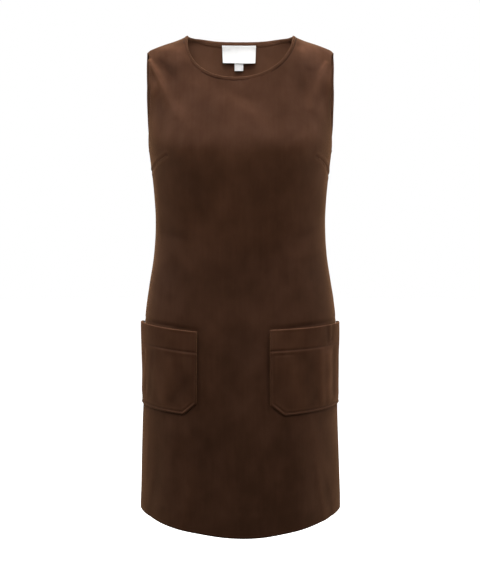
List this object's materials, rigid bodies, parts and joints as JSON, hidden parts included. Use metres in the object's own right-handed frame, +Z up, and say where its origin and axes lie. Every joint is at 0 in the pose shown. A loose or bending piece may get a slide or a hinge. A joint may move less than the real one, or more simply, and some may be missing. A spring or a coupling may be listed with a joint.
{
  "type": "pinafore dress",
  "caption": "Sleeveless A-line needlecord pinafore dress with a bound scoop neck, side bust darts and patch pockets, in its worn, hollow shape.",
  "frame": {"origin": "midway between the shoulders, at the height where the dress hangs on the wearer", "axes": "+Z up from hem to neck, -Y the way the front faces, +X towards the right of a viewer who faces the front"},
  "size_m": [0.371, 0.2816, 0.8639],
  "materials": {
    "front_cord": "fine needlecord cut pile, brushed and matt, with soft tonal mottling",
    "back_cord": "fine needlecord cut pile, brushed and matt, with soft tonal mottling",
    "binding_cord": "the same needlecord, folded and pressed flat as a narrow binding",
    "pocket_left_cord": "fine needlecord cut pile, brushed and matt, with soft tonal mottling",
    "pocket_right_cord": "fine needlecord cut pile, brushed and matt, with soft tonal mottling",
    "label_satin": "smooth white woven satin, bare",
    "size_tab_satin": "smooth white woven satin, bare"
  },
  "bodies": {
    "root": {"front": "front_cord", "back": "back_cord", "neck_binding": "binding_cord", "pocket_left": "pocket_left_cord", "pocket_right": "pocket_right_cord", "label_main": "label_satin", "label_size": "size_tab_satin"}
  },
  "joints": []
}
